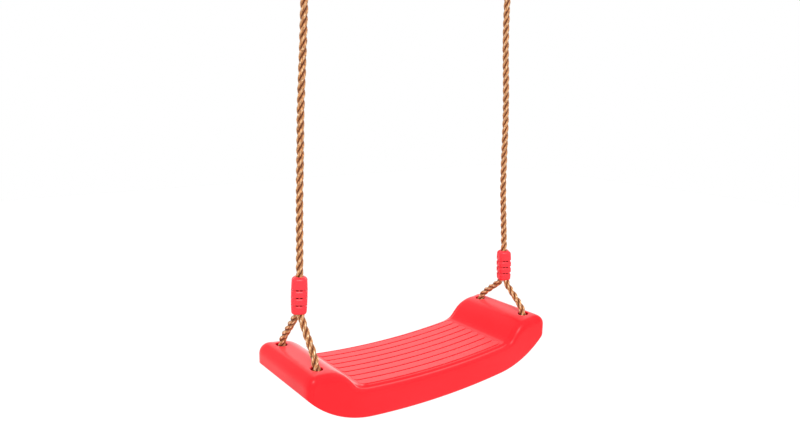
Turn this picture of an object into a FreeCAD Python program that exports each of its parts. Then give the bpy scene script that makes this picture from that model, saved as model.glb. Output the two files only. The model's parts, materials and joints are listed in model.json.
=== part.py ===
import FreeCAD, Part
import math
import os
import Sketcher

# Board swing: a contoured plastic seat hung on two ropes from two pivoting beam hangers.
# Row frame, millimetres: +Z up, X along the beam and the seat, front of the seat towards -Y.
# The origin lies midway between the two hangers, on the face that bolts up against the beam.
# Heights in the sheet whose names start with a part of the seat are counted from the
# hole level: the tops of the seat's two raised ends, where the ropes go in.

Vector = FreeCAD.Vector
X_AXIS = Vector(1, 0, 0)
Y_AXIS = Vector(0, 1, 0)
Z_AXIS = Vector(0, 0, 1)

DIMENSIONS = [
    ("drop", 694.0, "beam face down to the hole level"),
    ("spread", 188.5, "half the distance between the ropes at the seat"),
    ("hang_spread", 168.0, "half the distance between the hangers"),
    ("seat_half_length", 214.0, "seat, half length"),
    ("seat_width", 150.0, "seat, front to back"),
    ("seat_wall", 3.5, "moulded wall"),
    ("board_level", -40.0, "grooves of the sitting panel at mid length"),
    ("board_curve", 1300.0, "radius of the panel's long curve"),
    ("panel_half", 128.0, "half length of the sitting panel"),
    ("foot_radius", 22.0, "curve from the panel into the raised end"),
    ("slope_angle", 50.0, "steepest slope of the raised end"),
    ("slope_length", 10.2, "straight part of that slope"),
    ("crown_radius", 50.0, "curve from the slope onto the raised end's top"),
    ("crown_angle", 5.0, "rise of the raised end's top, outwards"),
    ("end_radius", 14.0, "curve from that top down the end face"),
    ("edge_radius", 8.0, "long top edges and upright corners"),
    ("rim_level", -80.6, "lowest point of the skirt"),
    ("rim_curve", 1185.0, "radius of the skirt's lower edge along the middle"),
    ("rim_turn", 118.0, "where the skirt's lower edge starts to sweep up"),
    ("rim_end_level", -27.5, "skirt's lower edge at the seat's ends"),
    ("land_height", 1.0, "raised bars of the sitting panel"),
    ("land_pitch", 15.5, "spacing of the raised bars"),
    ("land_gap", 1.9, "groove between two bars"),
    ("land_half", 129.0, "half length of a bar"),
    ("land_count", 8, "raised bars"),
    ("rib_wall", 2.4, "stiffening ribs under the board"),
    ("rib_pitch", 60.0, "spacing of the cross ribs"),
    ("rib_offset", 25.0, "long ribs, off the centre line"),
    ("rib_recess", 7.0, "ribs stop this far above the skirt's edge"),
    ("rib_depth", 120.0, "rib blanks, before they are trimmed to the shell"),
    ("hole_reach", 49.5, "rope holes, off the centre line"),
    ("hole_radius", 8.0, "rope hole"),
    ("boss_radius", 11.0, "boss round a rope hole"),
    ("boss_level", -9.0, "lower end of that boss"),
    ("saddle_level", -14.0, "pads that the rope bears on"),
    ("saddle_reach", 22.0, "those pads, off the centre line"),
    ("saddle_wide", 9.0, "those pads, along Y"),
    ("saddle_long", 42.0, "those pads, along X"),
    ("end_rib_reach", 165.0, "cross rib at the foot of the raised end"),
    ("rope_radius", 5.0, "twisted rope"),
    ("sleeve_level_left", 59.4, "lower end of the left lower sleeve"),
    ("sleeve_level_right", 44.6, "lower end of the right lower sleeve"),
    ("sleeve_reach_left", 185.0, "top of the left lower sleeve, off the middle"),
    ("sleeve_reach_right", 189.6, "top of the right lower sleeve, off the middle"),
    ("sleeve_height", 49.5, "sleeve"),
    ("sleeve_wide", 22.0, "sleeve across"),
    ("sleeve_deep", 23.0, "sleeve, the other way"),
    ("sleeve_bore", 5.1, "sleeve's bore, radius"),
    ("sleeve_mouth", 9.3, "flared mouth, radius"),
    ("sleeve_flare", 9.0, "flared mouth, depth"),
    ("sleeve_corner", 6.5, "rounded long edges"),
    ("sleeve_rounding", 3.0, "rounded ends"),
    ("sleeve_turn", -28.0, "how far the lower sleeves have turned on the rope, degrees"),
    ("window_wide", 2.6, "latch window, across"),
    ("window_high", 2.0, "latch window, along the sleeve"),
    ("window_pitch", 10.2, "spacing of the window rows"),
    ("window_level", 22.5, "middle row, above the sleeve's mouth"),
    ("window_offset", 2.6, "windows, off the sleeve's centre line"),
    ("window_depth", 18.0, "window cutter, centred on the sleeve's face"),
    ("latch_wide", 6.0, "latch recess across the joint line"),
    ("latch_high", 5.0, "latch recess, along the sleeve"),
    ("latch_depth", 1.2, "latch recess, depth"),
    ("half_gap", 0.05, "each sleeve half, short of the joint plane"),
    ("rope_seat", 1.3, "rope's end inside the upper sleeve"),
    ("eye_neck", 39.5, "upper sleeve up to the eye's centre"),
    ("eye_bore", 11.0, "thimble's bearing radius"),
    ("eye_rope", 18.5, "rope's axis round the thimble, radius"),
    ("thimble_half", 7.5, "thimble, half width"),
    ("thimble_wall", 2.2, "thimble, plate"),
    ("thimble_bulge", 2.6, "thimble's bore, flared at its rims"),
    ("thimble_groove", 4.0, "thimble's groove, depth"),
    ("thimble_gap", 0.3, "thimble clear of the link's bar"),
    ("link_bar", 4.0, "hanger link's bar, radius"),
    ("link_ring", 22.0, "hanger link, bar's axis radius"),
    ("link_hub_rise", 54.0, "bearing bar up to the pivot"),
    ("hub_radius", 13.0, "link's hub"),
    ("hub_wide", 14.0, "link's hub, along the pivot"),
    ("bush_radius", 8.0, "bush, outside"),
    ("flange_radius", 11.0, "bush flange"),
    ("flange_wall", 0.8, "bush flange, thickness"),
    ("bolt_radius", 5.0, "pivot bolt"),
    ("running_gap", 0.1, "running clearance, radial"),
    ("fit_gap", 0.02, "bush in its hub, radial"),
    ("thread_gap", 0.03, "nut on its bolt, radial"),
    ("washer_gap", 0.25, "washer on its bolt, radial"),
    ("ear_gap", 8.0, "ears, inner face off the middle"),
    ("ear_wall", 5.0, "ears"),
    ("ear_wide", 32.0, "ears, along Y"),
    ("pivot_level", -25.0, "pivot below the beam face"),
    ("drill_length", 60.0, "drills and blanks, long enough to pass right through"),
    ("embed", 1.0, "added shapes reach this far into what they join"),
    ("plate_thick", 5.0, "bracket plate"),
    ("plate_long", 96.0, "bracket plate, across the beam"),
    ("plate_wide", 50.0, "bracket plate, along the beam"),
    ("plate_corner", 8.0, "bracket plate, corner radius"),
    ("plate_hole", 5.25, "beam bolt hole, radius"),
    ("plate_bolts", 68.0, "beam bolt spacing on one bracket"),
    ("bolt_head", 6.4, "pivot bolt's head, height"),
    ("bolt_end", 2.4, "pivot bolt's end past the nut"),
    ("nut_height", 8.0, "pivot nut, height"),
    ("bolt_flats", 17.0, "pivot bolt's head and nut, across flats"),
    ("washer_wall", 1.6, "washer"),
    ("washer_radius", 10.0, "washer"),
]

doc = FreeCAD.newDocument("board_swing")
sheet = doc.addObject("Spreadsheet::Sheet", "sheet")
for row, (alias, value, note) in enumerate(DIMENSIONS, start=1):
    sheet.set(f"A{row}", note)
    sheet.set(f"B{row}", f"{value:g}")
    sheet.setAlias(f"B{row}", alias)
doc.recompute()

value = {alias: float(sheet.get(alias)) for alias, _, _ in DIMENSIONS}
SIDES = {"left": -1, "right": 1}
kept = []


# ---------------------------------------------------------------- helpers
def name_part(obj, label):
    """Gives an object the label that names its file, and keeps it as a sub-part."""
    obj.Label = label
    kept.append(obj)
    return obj


def bind(obj, **expressions):
    """Binds properties to the sheet; an underscore pair in a name stands for a dot."""
    for prop, expression in expressions.items():
        obj.setExpression(prop.replace("__", "."), expression)
    return obj


def place(obj, x="0", y="0", z="0"):
    """Binds an object's place to the sheet."""
    return bind(obj, Placement__Base__x=x, Placement__Base__y=y, Placement__Base__z=z)


def cylinder(label, radius, height, axis=Z_AXIS):
    """A cylinder that starts at its own origin and runs along axis."""
    obj = doc.addObject("Part::Cylinder", label)
    obj.Placement = FreeCAD.Placement(Vector(), FreeCAD.Rotation(Z_AXIS, axis))
    return bind(obj, Radius=radius, Height=height)


def box(label, length, width, height):
    return bind(doc.addObject("Part::Box", label), Length=length, Width=width, Height=height)


def fuse(label, shapes):
    obj = doc.addObject("Part::MultiFuse", label)
    obj.Shapes = shapes
    return obj


def cut(label, base, tool):
    obj = doc.addObject("Part::Cut", label)
    obj.Base = base
    obj.Tool = tool
    return obj


def common(label, shapes):
    obj = doc.addObject("Part::MultiCommon", label)
    obj.Shapes = shapes
    return obj


def new_body(label):
    return doc.addObject("PartDesign::Body", label)


def new_sketch(body, label, role):
    """A sketch on one of the body's own origin planes."""
    sketch = body.newObject("Sketcher::SketchObject", label)
    plane = next(f for f in body.Origin.OriginFeatures if f.Role == role)
    sketch.AttachmentSupport = [(plane, "")]
    sketch.MapMode = "FlatFace"
    return sketch


# ---------------------------------------------------------------- seat
RIM_MARGIN = 8


def arc_between(centre, radius, start_angle, end_angle):
    """An arc of the seat's side view, by its centre, radius and two angles in degrees."""
    circle = Part.Circle(Vector(centre[0], centre[1], 0), Z_AXIS, radius)
    return Part.ArcOfCircle(circle, math.radians(start_angle), math.radians(end_angle))


def line_between(start, end):
    return Part.LineSegment(Vector(start[0], start[1], 0), Vector(end[0], end[1], 0))


def on_circle(centre, radius, angle):
    turn = math.radians(angle)
    return (centre[0] + radius * math.cos(turn), centre[1] + radius * math.sin(turn))


def top_line(inset):
    """The right half of the seat's top, side view, moved inwards by inset, from the middle out.

    Returns its arcs and lines and its outer end point.
    """
    slope = value["slope_angle"]
    crown = value["crown_angle"]
    long_radius = value["board_curve"]
    panel_turn = math.degrees(math.asin(value["panel_half"] / long_radius))
    panel_centre = (0, value["board_level"] + long_radius)
    panel_end = on_circle(panel_centre, long_radius, panel_turn - 90)
    foot = value["foot_radius"]
    foot_centre = on_circle(panel_end, foot, panel_turn + 90)
    slope_start = on_circle(foot_centre, foot, slope - 90)
    slope_end = on_circle(slope_start, value["slope_length"], slope)
    crown_radius = value["crown_radius"]
    crown_centre = on_circle(slope_end, crown_radius, slope - 90)
    crown_end = on_circle(crown_centre, crown_radius, crown + 90)
    end_radius = value["end_radius"]
    end_x = value["seat_half_length"] - end_radius
    top_x = end_x - end_radius * math.sin(math.radians(crown))
    top_run = (top_x - crown_end[0]) / math.cos(math.radians(crown))
    top_end = on_circle(crown_end, top_run, crown)
    end_centre = on_circle(top_end, end_radius, crown - 90)
    pieces = [
        arc_between(panel_centre, long_radius + inset, -90, panel_turn - 90),
        arc_between(foot_centre, foot + inset, panel_turn - 90, slope - 90),
        line_between(
            on_circle(foot_centre, foot + inset, slope - 90),
            on_circle(crown_centre, crown_radius - inset, slope + 90),
        ),
        arc_between(crown_centre, crown_radius - inset, crown + 90, slope + 90),
        line_between(
            on_circle(crown_centre, crown_radius - inset, crown + 90),
            on_circle(end_centre, end_radius - inset, crown + 90),
        ),
        arc_between(end_centre, end_radius - inset, 0, crown + 90),
    ]
    return pieces, (value["seat_half_length"] - inset, end_centre[1])


def rim_line():
    """The right half of the skirt's lower edge, from the end face to the middle."""
    long_radius = value["rim_curve"]
    turn = math.asin(value["rim_turn"] / long_radius)
    centre = (0, value["rim_level"] + long_radius)
    join = on_circle(centre, long_radius, math.degrees(turn) - 90)
    end = (value["seat_half_length"], value["rim_end_level"])
    chord = math.atan2(end[1] - join[1], end[0] - join[0])
    last = 2 * chord - turn
    radius = (end[0] - join[0]) / (math.sin(last) - math.sin(turn))
    sweep_centre = on_circle(join, radius, math.degrees(turn) + 90)
    pieces = [
        arc_between(sweep_centre, radius, math.degrees(turn) - 90, math.degrees(last) - 90),
        arc_between(centre, long_radius, -90, math.degrees(turn) - 90),
    ]
    return pieces, end


def mirrored(piece):
    """The same arc or line on the other side of the seat's middle."""
    shape = piece.toShape().mirror(Vector(), X_AXIS)
    if isinstance(piece, Part.LineSegment):
        return Part.LineSegment(shape.Vertexes[0].Point, shape.Vertexes[-1].Point)
    first, last = shape.ParameterRange
    middle = shape.valueAt((first + last) / 2)
    return Part.Arc(shape.valueAt(first), middle, shape.valueAt(last))


def side_view(inset, depth=None):
    """Both halves of the side view: down to the skirt's edge, or to a flat line at depth."""
    top, top_end = top_line(inset)
    if depth is None:
        rim, rim_end = rim_line()
        half = top + [line_between(top_end, rim_end)] + rim
        return half + [mirrored(piece) for piece in half]
    corner = (top_end[0], depth)
    half = top + [line_between(top_end, corner)]
    return half + [mirrored(piece) for piece in half] + [line_between((-corner[0], depth), corner)]


def upper_edges(shape, half_width, lowest):
    """Names of the long top edges and upright corners on the two long faces."""
    names = []
    for number, edge in enumerate(shape.Edges, start=1):
        on_face = all(abs(abs(v.Point.y) - half_width) < 1e-6 for v in edge.Vertexes)
        along = abs(edge.Vertexes[0].Point.y - edge.Vertexes[-1].Point.y) < 1e-6
        middle = edge.valueAt((edge.FirstParameter + edge.LastParameter) / 2)
        if on_face and along and middle.z > lowest(middle.x):
            names.append(f"Edge{number}")
    return names


def seat_solid(label, inset, width, radius, depth=None):
    """A solid with the seat's side view, the seat's width and its rounded top edges."""
    body = new_body(label)
    sketch = new_sketch(body, label + "_view", "XZ_Plane")
    sketch.addGeometry(side_view(inset, depth), False)
    pad = body.newObject("PartDesign::Pad", label + "_pad")
    pad.Profile = sketch
    pad.SideType = "Symmetric"
    bind(pad, Length=width)
    doc.recompute()
    rounding = body.newObject("PartDesign::Fillet", label + "_edges")
    half_width = value["seat_width"] / 2 - inset

    def lowest(x):
        return rim_height(x) + RIM_MARGIN if depth is None else depth + 1

    rounding.Base = (pad, upper_edges(pad.Shape, half_width, lowest))
    bind(rounding, Radius=radius)
    doc.recompute()
    return body


def rim_height(x):
    """Height of the skirt's lower edge at x, near enough to tell it from the top edges."""
    reach = abs(x) / value["seat_half_length"]
    rise = value["rim_end_level"] - value["rim_level"]
    return value["rim_level"] + rise * (0.35 * reach**2 + 0.65 * reach**6)


TIP_ROUNDNESS = 0.95


def land_bars(label):
    """The raised bars of the sitting panel: slot-shaped in plan, following the panel's curve."""
    pitch = value["land_pitch"]
    half_wide = (pitch - value["land_gap"]) / 2
    half_long = value["land_half"]
    tip = half_wide * TIP_ROUNDNESS
    slabs = []
    for index in range(int(value["land_count"])):
        middle = (index - (value["land_count"] - 1) / 2) * pitch
        corner = Vector(-half_long, middle - half_wide, 2 * value["board_level"])
        slab = Part.makeBox(2 * half_long, 2 * half_wide, -2 * value["board_level"], corner)
        upright = [e for e in slab.Edges if abs(e.Vertexes[0].Z - e.Vertexes[-1].Z) > 1]
        slabs.append(slab.makeFillet(tip, upright))
    radius = value["board_curve"]
    wide = value["seat_width"]
    start = Vector(0, -wide / 2, value["board_level"] + radius)
    outer = Part.makeCylinder(radius + value["embed"], wide, start, Y_AXIS)
    inner = Part.makeCylinder(radius - value["land_height"], wide, start, Y_AXIS)
    obj = doc.addObject("Part::Feature", label)
    obj.Shape = Part.makeCompound(slabs).common(outer.cut(inner))
    return obj


CORE_LEVEL = value["rim_level"] - 12


def seat():
    """Moulded seat: an open-bottomed shell with ribs, rope bosses and pads for the rope."""
    form = seat_solid("seat_form", 0, "sheet.seat_width", "sheet.edge_radius")
    core = seat_solid(
        "seat_core",
        value["seat_wall"],
        "sheet.seat_width - 2 * sheet.seat_wall",
        "sheet.edge_radius - sheet.seat_wall",
        CORE_LEVEL,
    )
    ribs = []
    wide = "sheet.seat_width - 2 * sheet.embed"
    front = "sheet.embed - sheet.seat_width / 2"
    thick = "sheet.rib_wall"
    lowest = "-sheet.rib_depth"
    for step in range(-2, 3):
        rib = box(f"cross_rib_{step + 3}", thick, wide, "sheet.rib_depth")
        x = f"{step} * sheet.rib_pitch - sheet.rib_wall / 2"
        ribs.append(place(rib, x, front, lowest))
    for sign in (-1, 1):
        end_rib = box("end_rib", thick, wide, "sheet.rib_depth")
        x = f"{sign} * sheet.end_rib_reach - sheet.rib_wall / 2"
        ribs.append(place(end_rib, x, front, lowest))
        long_rib = box("long_rib", "2 * sheet.end_rib_reach", thick, "sheet.rib_depth")
        y = f"{sign} * sheet.rib_offset - sheet.rib_wall / 2"
        ribs.append(place(long_rib, "-sheet.end_rib_reach", y, lowest))
    limit = doc.addObject("Part::Feature", "rib_limit")
    limit.Shape = form.Shape.copy()
    limit.Placement = FreeCAD.Placement(Vector(0, 0, value["rib_recess"]), FreeCAD.Rotation())
    web = common("rib_web", [fuse("rib_grid", ribs), form, limit])
    fittings = []
    holes = []
    for x_sign in (-1, 1):
        for y_sign in (-1, 1):
            x = f"{x_sign} * sheet.spread"
            boss = cylinder("rope_boss", "sheet.boss_radius", "-sheet.boss_level")
            fittings.append(place(boss, x, f"{y_sign} * sheet.hole_reach", "sheet.boss_level"))
            pad = box("saddle", "sheet.saddle_long", "sheet.saddle_wide", "-sheet.saddle_level")
            y = f"{y_sign} * sheet.saddle_reach - sheet.saddle_wide / 2"
            fittings.append(place(pad, x + " - sheet.saddle_long / 2", y, "sheet.saddle_level"))
            hole = cylinder("rope_hole", "sheet.hole_radius", "sheet.drill_length")
            holes.append(place(hole, x, f"{y_sign} * sheet.hole_reach", "-sheet.drill_length / 2"))
    inner = common("seat_fittings", [fuse("bosses_and_saddles", fittings), form])
    bars = land_bars("sitting_bars")
    doc.recompute()
    whole = fuse("seat_whole", [cut("seat_shell", form, core), web, inner, bars])
    drilled = cut("seat_drilled", whole, fuse("rope_holes", holes))
    doc.recompute()
    obj = doc.addObject("Part::Feature", "seat_board")
    obj.Shape = drilled.Shape.removeSplitter()
    place(obj, z="-sheet.drop")
    return name_part(obj, "seat_board")


# ---------------------------------------------------------------- ropes
ARC_SHARE = 0.45


def route_wire(points):
    """Straight runs joined by tangent arcs, each as large as its two runs allow."""
    vertices = [Vector(*p) for p in points]
    edges = []
    radii = []
    start = vertices[0]
    for before, corner, after in zip(vertices, vertices[1:], vertices[2:]):
        back = before - corner
        ahead = after - corner
        turn = math.pi - back.getAngle(ahead)
        reach = ARC_SHARE * min(back.Length, ahead.Length)
        radii.append(reach / math.tan(turn / 2))
        back.normalize()
        ahead.normalize()
        first = corner + back * reach
        last = corner + ahead * reach
        inward = back + ahead
        inward.normalize()
        rise = reach * (1 / math.cos(turn / 2) - 1) / math.tan(turn / 2)
        middle = corner + inward * rise
        edges.append(Part.LineSegment(start, first).toShape())
        edges.append(Part.Arc(first, middle, last).toShape())
        start = last
    edges.append(Part.LineSegment(start, vertices[-1]).toShape())
    return Part.Wire(edges), radii


def rope_tube(label, points):
    """A plain tube along a route, with its radii and its volume checked."""
    wire, radii = route_wire(points)
    start = Vector(*points[0])
    heading = Vector(*points[1]) - start
    circle = Part.Wire(Part.Circle(start, heading, value["rope_radius"]).toShape())
    tube = wire.makePipeShell([circle], True, False)
    expected = math.pi * value["rope_radius"] ** 2 * wire.Length
    tightest = min(radii) if radii else float("inf")
    print(f"{label}: length {wire.Length:.1f}, tightest radius {tightest:.1f}, "
          f"volume {tube.Volume / expected:.4f} of section times length")
    obj = doc.addObject("Part::Feature", label)
    obj.Shape = tube
    return name_part(obj, label)


LEG_ROUTES = {
    "left": [(6.5, 52.4), (24.0, 33.5), (42.5, 13.0), (49.0, 0.5), (49.0, -20.0), (20.0, -20.8)],
    "right": [(6.5, 37.6), (24.0, 24.0), (42.5, 10.0), (49.0, 0.5), (49.0, -20.0), (20.0, -20.8)],
}
EYE_ROUTE = [(5.2, -38.7), (12.0, -24.7)]
EYE_STEP = 45
ROPE_ROUTE = [
    (0.0, 0.0, 1.6),
    (-0.6, 0.8, 46.0),
    (0.5, 1.5, 101.0),
    (-0.4, 0.6, 158.0),
    (0.7, -0.7, 214.0),
    (0.2, -1.4, 270.0),
    (-0.7, -0.8, 325.0),
    (0.0, 0.0, 372.0),
]


BAR_LEVEL = value["pivot_level"] - value["link_hub_rise"]
EYE_SINK = value["eye_bore"] - value["link_bar"] - value["thimble_gap"]


def sleeve_top(side):
    """The lower sleeve's top in the row frame: where its leaning rope starts."""
    level = value[f"sleeve_level_{side}"] + value["sleeve_height"] - value["drop"]
    return Vector(SIDES[side] * value[f"sleeve_reach_{side}"], 0, level)


def rope_run(side):
    """From the lower sleeve's top up to the hanger link's bearing bar."""
    return Vector(SIDES[side] * value["hang_spread"], 0, BAR_LEVEL) - sleeve_top(side)


def eye_centre(side):
    """Along the leaning rope from the lower sleeve's top to the centre of its eye."""
    return rope_run(side).Length - EYE_SINK


def upper_sleeve(side):
    return eye_centre(side) - value["eye_neck"] - value["sleeve_height"]


def on_rope(obj, side, along):
    """Puts a piece on the leaning rope, along millimetres above the lower sleeve's top."""
    lean = FreeCAD.Rotation(Z_AXIS, rope_run(side))
    place_at = sleeve_top(side) + lean.multVec(Vector(0, 0, along))
    obj.Placement = FreeCAD.Placement(place_at, lean)
    return obj


def sleeve_foot(side):
    """How far outside its rope holes the lower sleeve's lower end hangs."""
    run = rope_run(side)
    foot = sleeve_top(side) - run * (value["sleeve_height"] / run.z)
    return foot.x - SIDES[side] * value["spread"]


def loop_rope(side):
    """The loop under the raised end: down one hole, across below the pads and up the other."""
    shift = sleeve_foot(side) / value[f"sleeve_level_{side}"]
    front = [(shift * max(z, 0), -y, z) for y, z in LEG_ROUTES[side]]
    back = [(x, -y, z) for x, y, z in reversed(front)]
    obj = rope_tube(f"{side}_loop_rope", front + back)
    return place(obj, f"{SIDES[side]} * sheet.spread", "0", "-sheet.drop")


def clamped_rope(side):
    """The stretch of rope gripped inside the lower sleeve."""
    label = f"{side}_clamped_rope"
    obj = cylinder(label, "sheet.rope_radius", "sheet.sleeve_height - sheet.sleeve_flare")
    on_rope(obj, side, value["sleeve_flare"] - value["sleeve_height"])
    return name_part(obj, label)


def main_rope(side):
    """The rope from the lower sleeve up into the upper one."""
    mirror = -SIDES[side]
    end = (0, 0.3, upper_sleeve(side) + value["rope_seat"])
    obj = rope_tube(f"{side}_rope", [(mirror * x, y, z) for x, y, z in ROPE_ROUTE + [end]])
    return on_rope(obj, side, 0)


def eye_rope(side):
    """The rope eye: out of the upper sleeve, round the thimble and back in."""
    radius = value["eye_rope"] / math.cos(math.radians(EYE_STEP / 2))
    ring = [on_circle((0, 0), radius, (step - 0.5) * EYE_STEP) for step in range(6)]
    down = [(-x, z) for x, z in reversed(EYE_ROUTE)]
    route = [(x, 0, z) for x, z in EYE_ROUTE + ring + down]
    return on_rope(rope_tube(f"{side}_eye_rope", route), side, eye_centre(side))


# ---------------------------------------------------------------- sleeves and thimbles
def centred_box(wide, deep, tall, x, y, z):
    return Part.makeBox(wide, deep, tall, Vector(x - wide / 2, y - deep / 2, z - tall / 2))


def window(sign, level):
    """Cutter for one latch window, from the windowed half's outer face into the bore."""
    depth = value["window_depth"]
    size = (value["window_wide"], depth, value["window_high"])
    return centred_box(*size, sign * value["window_offset"], -value["sleeve_deep"] / 2, level)


def latch_recess(sign, level):
    """Cutter for one shallow latch recess on the joint line."""
    size = (2 * value["latch_depth"], value["latch_wide"], value["latch_high"])
    return centred_box(*size, sign * value["sleeve_wide"] / 2, 0, level)


def sleeve_half(label, face):
    """One half of the snap-together sleeve; face -1 is the windowed half, 1 the plain one.

    Modelled upright on its own base with the mouth at the bottom.
    """
    wide = value["sleeve_wide"]
    deep = value["sleeve_deep"]
    tall = value["sleeve_height"]
    block = Part.makeBox(wide, deep, tall, Vector(-wide / 2, -deep / 2, 0))
    long_edges = [e for e in block.Edges if abs(e.Vertexes[0].Z - e.Vertexes[-1].Z) > 1]
    block = block.makeFillet(value["sleeve_corner"], long_edges)
    ends = [e for e in block.Edges if abs(e.Vertexes[0].Z - e.Vertexes[-1].Z) < 1e-6]
    block = block.makeFillet(value["sleeve_rounding"], ends)
    bore = Part.makeCylinder(value["sleeve_bore"], tall)
    mouth = Part.makeCone(value["sleeve_mouth"], value["sleeve_bore"], value["sleeve_flare"])
    shell = block.cut(bore).cut(mouth)
    for row in (-1, 0, 1):
        level = value["window_level"] + row * value["window_pitch"]
        for sign in (-1, 1):
            shell = shell.cut(latch_recess(sign, level))
            if face < 0:
                shell = shell.cut(window(sign, level))
    gap = value["half_gap"]
    half_space = centred_box(2 * wide, deep, 2 * tall, 0, face * (deep / 2 + gap), tall / 2)
    obj = doc.addObject("Part::Feature", label)
    obj.Shape = shell.common(half_space)
    return name_part(obj, label)


def sleeves(side):
    """Two halves round the lower joint of the rope and two round the upper one."""
    turned = FreeCAD.Placement(Vector(), FreeCAD.Rotation(Z_AXIS, value["sleeve_turn"]))
    for face, word in ((-1, "front"), (1, "back")):
        low = sleeve_half(f"{side}_lower_sleeve_{word}", face)
        on_rope(low, side, -value["sleeve_height"])
        low.Placement = low.Placement.multiply(turned)
        high = sleeve_half(f"{side}_upper_sleeve_{word}", face)
        on_rope(high, side, upper_sleeve(side))
        flip = FreeCAD.Placement(Vector(0, 0, value["sleeve_height"]), FreeCAD.Rotation(Y_AXIS, 180))
        high.Placement = high.Placement.multiply(flip)


def thimble(side):
    """The grooved ring that lines the rope eye."""
    bore = value["eye_bore"]
    half = value["thimble_half"]
    wall = value["thimble_wall"]
    rim = bore + value["thimble_bulge"]
    lip = rim + value["thimble_groove"]
    inner = Part.Arc(Vector(rim, -half, 0), Vector(bore, 0, 0), Vector(rim, half, 0))
    groove = Part.Arc(Vector(lip, half, 0), Vector(bore + wall, 0, 0), Vector(lip, -half, 0))
    edges = [
        inner.toShape(),
        Part.LineSegment(inner.EndPoint, groove.StartPoint).toShape(),
        groove.toShape(),
        Part.LineSegment(groove.EndPoint, inner.StartPoint).toShape(),
    ]
    ring = Part.Face(Part.Wire(edges)).revolve(Vector(), Y_AXIS, 360)
    obj = doc.addObject("Part::Feature", f"{side}_thimble")
    obj.Shape = ring
    return on_rope(name_part(obj, f"{side}_thimble"), side, eye_centre(side))


# ---------------------------------------------------------------- hangers
def hang_x(side):
    return f"{SIDES[side]} * sheet.hang_spread"


def through_drill(label, radius):
    """A long drill along X, centred on its own origin."""
    return place(cylinder(label, radius, "sheet.drill_length", X_AXIS), "-sheet.drill_length / 2")


def hanger_link(side):
    """Forged link: a hub on the pivot bolt and a ring below it that the thimble hangs on."""
    hub = cylinder("hub", "sheet.hub_radius", "sheet.hub_wide", X_AXIS)
    place(hub, "-sheet.hub_wide / 2")
    ring = bind(doc.addObject("Part::Torus", "ring"), Radius1="sheet.link_ring", Radius2="sheet.link_bar")
    ring.Placement = FreeCAD.Placement(Vector(), FreeCAD.Rotation(Z_AXIS, X_AXIS))
    place(ring, z="sheet.link_ring - sheet.link_hub_rise")
    bore = through_drill("hub_bore", "sheet.bush_radius + sheet.fit_gap")
    label = f"{side}_hanger_link"
    obj = cut(label, fuse("link_blank", [hub, ring]), bore)
    place(obj, hang_x(side), "0", "sheet.pivot_level")
    return name_part(obj, label)


def bushes(side):
    """Two flanged plastic bushes in the hub, which turn on the pivot bolt."""
    halves = []
    for sign in (-1, 1):
        length = "sheet.hub_wide / 2 - sheet.running_gap"
        sleeve = cylinder("bush_sleeve", "sheet.bush_radius", length, X_AXIS * sign)
        place(sleeve, f"{sign} * sheet.running_gap")
        flange = cylinder("bush_flange", "sheet.flange_radius", "sheet.flange_wall", X_AXIS * sign)
        place(flange, f"{sign} * sheet.hub_wide / 2")
        halves.append(fuse("bush_half", [sleeve, flange]))
    bore = through_drill("bush_bore", "sheet.bolt_radius + sheet.running_gap")
    pair = doc.addObject("Part::Compound", "bush_pair")
    pair.Links = halves
    label = f"{side}_bushes"
    obj = cut(label, pair, bore)
    place(obj, hang_x(side), "0", "sheet.pivot_level")
    return name_part(obj, label)


def bracket(side):
    """Plate against the beam with two rounded ears that carry the pivot bolt."""
    body = new_body("bracket_plate")
    outline = new_sketch(body, "plate_outline", "XY_Plane")
    half_x = value["plate_wide"] / 2
    half_y = value["plate_long"] / 2
    corners = [(-half_x, -half_y), (half_x, -half_y), (half_x, half_y), (-half_x, half_y)]
    for start, end in zip(corners, corners[1:] + corners[:1]):
        outline.addGeometry(line_between(start, end), False)
    for sign in (-1, 1):
        centre = Vector(0, sign * value["plate_bolts"] / 2, 0)
        outline.addGeometry(Part.Circle(centre, Z_AXIS, value["plate_hole"]), False)
    plate = body.newObject("PartDesign::Pad", "plate")
    plate.Profile = outline
    plate.Reversed = True
    bind(plate, Length="sheet.plate_thick")
    doc.recompute()
    upright = [
        f"Edge{number}"
        for number, edge in enumerate(plate.Shape.Edges, start=1)
        if edge.BoundBox.ZLength > 1 and edge.Vertexes[0].Point.x ** 2 > half_x ** 2 - 1
    ]
    rounding = body.newObject("PartDesign::Fillet", "plate_corners")
    rounding.Base = (plate, upright)
    bind(rounding, Radius="sheet.plate_corner")
    ears = []
    for sign in (-1, 1):
        left_face = f"{sign} * (sheet.ear_gap + sheet.ear_wall / 2) - sheet.ear_wall / 2"
        web = box("ear_web", "sheet.ear_wall", "sheet.ear_wide", "-sheet.pivot_level - sheet.embed")
        ears.append(place(web, left_face, "-sheet.ear_wide / 2", "sheet.pivot_level"))
        end = cylinder("ear_end", "sheet.ear_wide / 2", "sheet.ear_wall", X_AXIS)
        ears.append(place(end, left_face, "0", "sheet.pivot_level"))
    hole = through_drill("pivot_hole", "sheet.bolt_radius + sheet.running_gap")
    place(hole, "-sheet.drill_length / 2", "0", "sheet.pivot_level")
    label = f"{side}_bracket"
    obj = cut(label, fuse("bracket_blank", [body] + ears), hole)
    place(obj, hang_x(side))
    return name_part(obj, label)


def hexagon(label, height):
    """A hexagonal head or nut that starts at its own origin and runs along X."""
    obj = doc.addObject("Part::Prism", label)
    obj.Polygon = 6
    obj.Placement = FreeCAD.Placement(Vector(), FreeCAD.Rotation(Z_AXIS, X_AXIS))
    return bind(obj, Circumradius="sheet.bolt_flats / 2 / cos(30 deg)", Height=height)


STACK = "(sheet.ear_gap + sheet.ear_wall + sheet.washer_wall)"


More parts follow.
